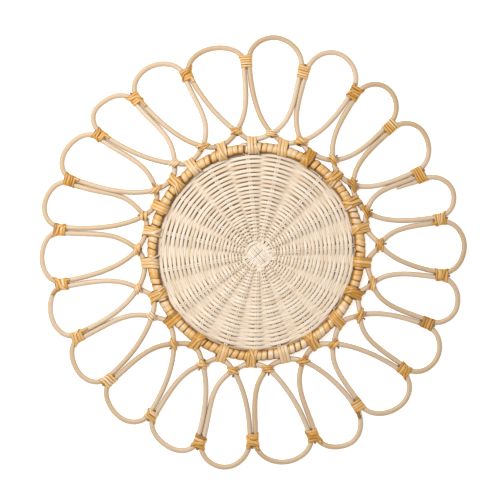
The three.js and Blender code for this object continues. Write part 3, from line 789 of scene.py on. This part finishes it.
turns = round(2 * np.pi * HOOP_RADIUS / WRAP)
w = np.linspace(0, turns, turns * PER_TURN + 1)
theta = 2 * np.pi * w - 0.5 * np.pi
lean = 0.12 * wander(w / 4, 300)
wrap_deg = 360 / turns * (w + lean * np.cos(theta) + 0.15 * wander(w * 1.3, 301))
bulge = CORE + 0.16 * wander(w * 0.9, 304)
section = np.stack([np.zeros_like(w), np.full_like(w, HOOP_Z), bulge, bulge], axis=-1)[:, None]
points, n = wound(section, theta)
wrap_path = outward(wrap_deg) * (hoop_radius(wrap_deg) + points[:, 0])[:, None] + points[:, 1:] * UP
wrap_normal = outward(wrap_deg) * n[:, :1] + n[:, 1:] * UP
wrap_half = 0.5 * WRAP * (1.05 + 0.07 * wander(w * 1.1, 302))
rng = np.random.default_rng(12)
turn_tones = rng.normal(0.27, 0.1, turns + 1) + 0.06 * wander(np.arange(turns + 1) / 6, 305)
turn_tone = turn_tones[np.floor(w).astype(int)]
wrap_strip = carry(wrap_path, wrap_normal, scaled(PEEL_PROFILE, wrap_half, WRAP_THICK))
# The turned-down sides are darker: partly stain, partly painted shade where the hoop meets the disc and
# floor.
darker_from = 0.58 + 0.05 * wander(w * 3, 306)
inner_stain_and_shade = 0.75 * np.clip((-np.cos(theta) - darker_from) / 0.26, 0, 1)
outer_stain_and_shade = 0.45 * np.clip((np.cos(theta) - darker_from - 0.15) / 0.22, 0, 1)
wrap_tone = turn_tone + 0.05 * wander(w * 8, 303) + inner_stain_and_shade + outer_stain_and_shade
hoop_wrapping = skin("hoop_wrapping", [core_strip, wrap_strip], [0.62, wrap_tone], peel)
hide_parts("wrapped_hoop")
print("turns round the hoop:", turns)

# %% The lashings
LASHINGS = [  # strands on top, slant, crossing side, tone
    (3, 0.5, 1, 0.4), (3, -0.7, -1, 0.54), (3, 0.6, -1, 0.52), (3, -0.5, 1, 0.66), (3, 1.5, 0, 0.26),
    (3, 0.7, 0, 0.14), (3, -0.9, 1, 0.26), (3, 0.8, 0, 0.18), (3, -0.5, -1, 0.36), (3, 0.7, 0, 0.36),
    (3, 0.6, 1, 0.34), (3, -0.7, 0, 0.26), (4, 0.5, 1, 0.38), (3, 0.8, 0, 0.64), (3, -0.6, -1, 0.56),
    (3, 0.7, 0, 0.32), (3, -0.5, 1, 0.4), (3, 0.6, 0, 0.14), (3, 0.8, -1, 0.48), (4, -0.7, 0, 0.5),
    (3, 0.5, 1, 0.66), (3, 0.6, 0, 0.48),
]
LASHING_ENDS = [  # lashing, clockwise from it and outward from the hoop at the start, both at the end, tone
    (5, 2.4, 3.2, 5.8, -6.4, 0.05), (5, -10.4, 2.6, -4.6, 2.8, 0.0), (5, -10.2, 4.2, -4.8, 4.4, 0.0),
    (7, 0.5, 2.0, 4.4, -6.2, 0.08), (1, 2.4, 1.0, 3.4, -6.2, 0.1), (2, 2.6, 1.0, 3.6, -6.0, 0.1),
    (8, -2.2, 1.0, -7.6, -6.0, 0.1), (10, -1.5, 2.0, -3.6, -6.6, 0.05), (11, 3.0, 1.0, 6.6, -6.4, 0.05),
    (12, 3.0, 1.0, 4.8, -5.6, 0.05),
]
# The face of the disc, and the radius of the hoop under a lashing.
DISC_TOP, HOOP_BOUND = 5.3, HOOP_HALF - 0.05
LASH_LENGTH, LASH_OVERLAP, LASH_THICK = 8.6, 1.14, 0.8
lash_strips, lash_tones, lash_places = [], [], []
for k, (strands, slant, crossing, tone) in enumerate(LASHINGS):
    deg, following = petal["lashing"][k], (k + 1) % COUNT
    place = (at(deg, hoop_radius(deg), 0.0), around(deg), outward(deg))
    lie = np.concatenate([runs["dip_out"][k], runs["dip_in"][following][1:]])

    def ovals_at(slides):
        hoop = np.broadcast_to([0.0, HOOP_Z, HOOP_BOUND, HOOP_BOUND], (len(slides), 1, 4))
        return np.concatenate([hoop, ovals(place, slides, lie)], axis=1)

    strip = bind(place, ovals_at, -LASH_LENGTH / 2, LASH_LENGTH / 2,
                 strands, slant, crossing, 400 + 3 * k, LASH_OVERLAP, LASH_THICK)
    lash_strips.append(strip)
    lash_tones.append(strand_tones(strip, tone, 480 + 3 * k))
    lash_places.append(place)
for k, aside, out, end_aside, end_out, tone in LASHING_ENDS:
    origin, axis, across = lash_places[k]
    aside, out = aside + (end_aside - aside) * share[:, 0], out + (end_out - out) * share[:, 0]
    path = origin - aside[:, None] * axis + out[:, None] * across
    lying_on = HOOP_HALF + np.interp(np.abs(aside), [3.6, 6.0], [LASH_THICK + 0.05, 0.15])
    on_hoop = HOOP_Z + np.sqrt(np.maximum(lying_on**2 - out**2, 0))
    path[:, 2] = np.maximum(on_hoop, DISC_TOP)
    lash_strips.append(carry(path, UP, FOOT_TAIL))
    lash_tones.append(tone)
lashings = skin("hoop_lashings", lash_strips, lash_tones, peel)
print("lashings:", len(LASHINGS), "loose ends:", len(LASHING_ENDS))

# %% [markdown]
# ## The woven disc
# The disc is woven as a basket bottom is. Four pairs of thin reeds cross four others in the middle and spread
# like spokes, 16 pairs in four bundles. One more pair, pushed in below them, makes the number odd. A weaver
# first goes under and over whole bundles, then over one pair and under the next. Because the number of pairs
# is odd, each round goes over where the last one went under, so one spiral does it.
#
# The height of the weaver is a cosine that makes half a wave from one pair to the next. Further out the pairs
# stand further apart and the weaver runs level between them, so there the cosine is raised to a power:
# w = sign(c) |c|^p. The power p is about 1 near OPEN_SIDE and up to 3 elsewhere, where the weave is beaten
# closer. The rows are tighter in the middle: with s as the share of the rows laid, the radius grows as
# s (1 - g + g s). Over and under a pair the weaver is also broader, up to almost two rows' pitch, and what
# stays open between two strands is a dark slit. Just over a pair, on the beaten side, it is narrow again, so
# the pale pair shows as a dotted line.

# %% Pairs of stakes and their fan
PAIRS = np.array([4.0, 29, 50, 77, 96, 120, 144, 168, 191, 215, 232, 251, 269, 283, 305, 324, 347])
DISC_Z = 2.7
# Half sizes: breadth and height of a stake out in the disc, a stake in the middle, height of the weaver.
STAKE_BROAD, STAKE_HIGH, THIN, REED_HIGH = 0.84, 1.6, 0.68, 0.5
PAIR_WIDTH = 2.25 * STAKE_BROAD
WEAVE_MIDDLE = np.array([0.4, -1.8, 0.0])
# Where the first row lies, where the pairs have spread, and the room outside the last row.
FIRST_R, SPREAD_R, RIM_ROOM = 9.7, 16.5, 5.9
# Each bundle: its direction, its pairs, the distance from pair to pair, and its height at the distances
# BUNDLE_R from the middle of the weave.
BUNDLE_R = [0, 6, 9.7, 11.8, 13.8, 17]
BUNDLES = [
    (42.0, (0, 1, 2, 3), 3.1, [2.2, 2.2, 3.3, 3.3, 2.2, 2.7]),
    (132.0, (4, 5, 6, 7), 2.9, [3.6, 3.6, 2.1, 2.1, 3.2, 2.7]),
    (222.0, (8, 9, 10, 11), 3.1, [2.2, 2.2, 3.3, 3.3, 2.2, 2.7]),
    (312.0, (12, 13, 15, 16), 2.9, [3.6, 3.6, 2.1, 2.1, 3.2, 2.7]),
    (312.0, (14,), 2.9, [0.9, 0.9, 0.8, 0.8, 2.0, 2.7]),
]


def painted_shade_of_stake(z):
    """How deep a point lies below the nearer face of the disc, from 0 to 1 (deep), for the painted shade in
    the weave.
    """
    return np.clip((np.minimum(2 * DISC_Z - z, z) - 2.5) / 1.2, 0, 1)


stake_strips, stake_tones = [], []
for way_deg, members, width, heights in BUNDLES:
    for nth, k in enumerate(np.repeat(members, 2)):
        deg, side = PAIRS[k], nth % 2 - 0.5
        aside = (nth // 2 - (len(members) - 1) / 2) * width + side * min(width / 2, 1.9 * THIN)
        inner = WEAVE_MIDDLE + around(way_deg) * aside
        straight = inner + outward(way_deg) * np.linspace(-0.4, 8.5, 8)[:, None]
        pair_aside = around(deg) * (side * PAIR_WIDTH)
        spread = WEAVE_MIDDLE + outward(deg) * SPREAD_R + pair_aside
        end = outward(deg) * (hoop_radius(deg) - HOOP_HALF) + pair_aside
        fan = bend(straight[-1], outward(way_deg), 3.5, spread, unit(end - spread), 3.0, 8)
        line = spread + (end - spread) * np.linspace(0, 1, 24)[:, None]
        path = np.concatenate([straight[:-1], fan[:-1], line])
        length = np.linalg.norm(path[:, :2] - WEAVE_MIDDLE[:2], axis=1)
        path[:, 2] = np.interp(length, BUNDLE_R, heights)
        broad = np.interp(length, [8, 20], [THIN, STAKE_BROAD])
        high = np.interp(length, [8, 24], [THIN, STAKE_HIGH])
        stake_strips.append(carry(path, UP, scaled(round_profile(8), broad, high)))
        paler = np.interp(length, [12, 24], [0.5, -0.05])
        stake_tones.append(paler + 0.1 * wander(length / 20, 500 + 2 * k + nth % 2))
stakes = skin("disc_stakes", stake_strips, stake_tones, pale_reed, painted_shade_of_stake)
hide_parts("woven_disc")
print("reeds used as stakes:", len(stake_strips))

# %% The weaver
# Where it starts, its stations in a round and its points round the profile.
START, ROUND_STEPS, WEAVER_SIDES = 87.0, 170, 10
# The rounds of the spiral, those along the rim that end it, the growth g of the rows, and the open side.
ROWS, LAST_ROUNDS, ROW_GROWTH, OPEN_SIDE = 44.9, 0.5, 0.18, 105.0
# Half the breadth of the weaver as a share of the pitch: where it runs level, what it gains on the beaten
# side, and what it loses just over a pair there.
LEVEL_COVER, BEATEN_GAIN, PULLED_LOSS = 0.54, 0.2, 0.3
turn = np.arange(int((ROWS + LAST_ROUNDS) * ROUND_STEPS) + 1) / ROUND_STEPS
phi = START + 360 * turn
marks = np.concatenate([PAIRS[4:], PAIRS[:5] + 360])
past_mark = (phi - marks[0]) % 360
count = np.floor(turn + 1e-9) * len(PAIRS) + np.interp(past_mark + marks[0], marks, np.arange(len(marks)))
count -= np.where(past_mark > (START - marks[0]) % 360 - 1e-6, len(PAIRS), 0)
over_bundles = np.cos(np.radians(2 * (phi - BUNDLES[1][0])))
over_pairs = np.cos(np.pi * count)
share = np.minimum(turn / ROWS, 1)
outer = hoop_radius(phi) - RIM_ROOM
laid = share * (1 - ROW_GROWTH + ROW_GROWTH * share)
radius = FIRST_R + (outer - FIRST_R) * laid + 0.27 * (1 - share**8) * wander(turn * 9, 600)
pitch = (HOOP_RADIUS - RIM_ROOM - FIRST_R) / ROWS * (1 - ROW_GROWTH + 2 * ROW_GROWTH * share)
closed = np.minimum(1 - np.cos(np.radians(phi - OPEN_SIDE)), 1)
power = 0.85 + closed * np.interp(radius, [18, 45], [0.2, 1.9])
over_pairs = np.sign(over_pairs) * np.abs(over_pairs) ** power
# Two rounds go over and under the bundles, the third under and over, and then come the pairs.
wave = np.where(turn < 2, over_bundles, np.where(turn < 3, -over_bundles, over_pairs))
weaver_path = at(phi, radius, DISC_Z) + WEAVE_MIDDLE * (1 - share)[:, None]
lift = np.interp(radius, [12, 24], [1.6, STAKE_HIGH + REED_HIGH])
weaver_path[:, 2] = DISC_Z + lift * wave * (0.98 + 0.02 * wander(turn * 11, 603))
beaten = closed * np.interp(radius, [20, 36], [0, 1])
cover = np.interp(radius, [14, 26], [0.62, 0.78])
cover += beaten * (BEATEN_GAIN - PULLED_LOSS * np.abs(over_pairs) ** 5)
cover = LEVEL_COVER + (cover - LEVEL_COVER) * np.minimum(2 * np.abs(wave), 1)
broad = pitch * cover * (1 + 0.06 * wander(turn * 23, 604))
weaver_strip = carry(weaver_path, UP, scaled(round_profile(WEAVER_SIDES, 0.8), broad, REED_HIGH))
weaver_tone = 0.2 + 0.16 * wander(turn * 3, 601) + 0.14 * wander(turn * 17, 602)


def painted_shade_of_weaver(z):
    """The same, from the upper face for its upper points and from the lower one for the others."""
    upward = np.clip((z - np.repeat(weaver_path[:, 2], WEAVER_SIDES)) / REED_HIGH, -1, 1) * 0.5 + 0.5
    return np.clip(upward * (2 * DISC_Z - z) + (1 - upward) * z - 2.4, 0, 1)


weaver = skin("disc_weaver", [weaver_strip], [weaver_tone], reed, painted_shade_of_weaver)
# One more reed lies low at the rim of the weave, inside the hoop.
EDGE_INSIDE, EDGE_Z = 4.9, 1.3
edge_reed = carry(at(core_deg, hoop_radius(core_deg) - EDGE_INSIDE, EDGE_Z), UP, round_profile(8))
disc_edge = skin("disc_edge", [edge_reed], [0.5], reed)
print("length of the weaver in m:", round(length_along(weaver_path)[-1] / 1000, 1))
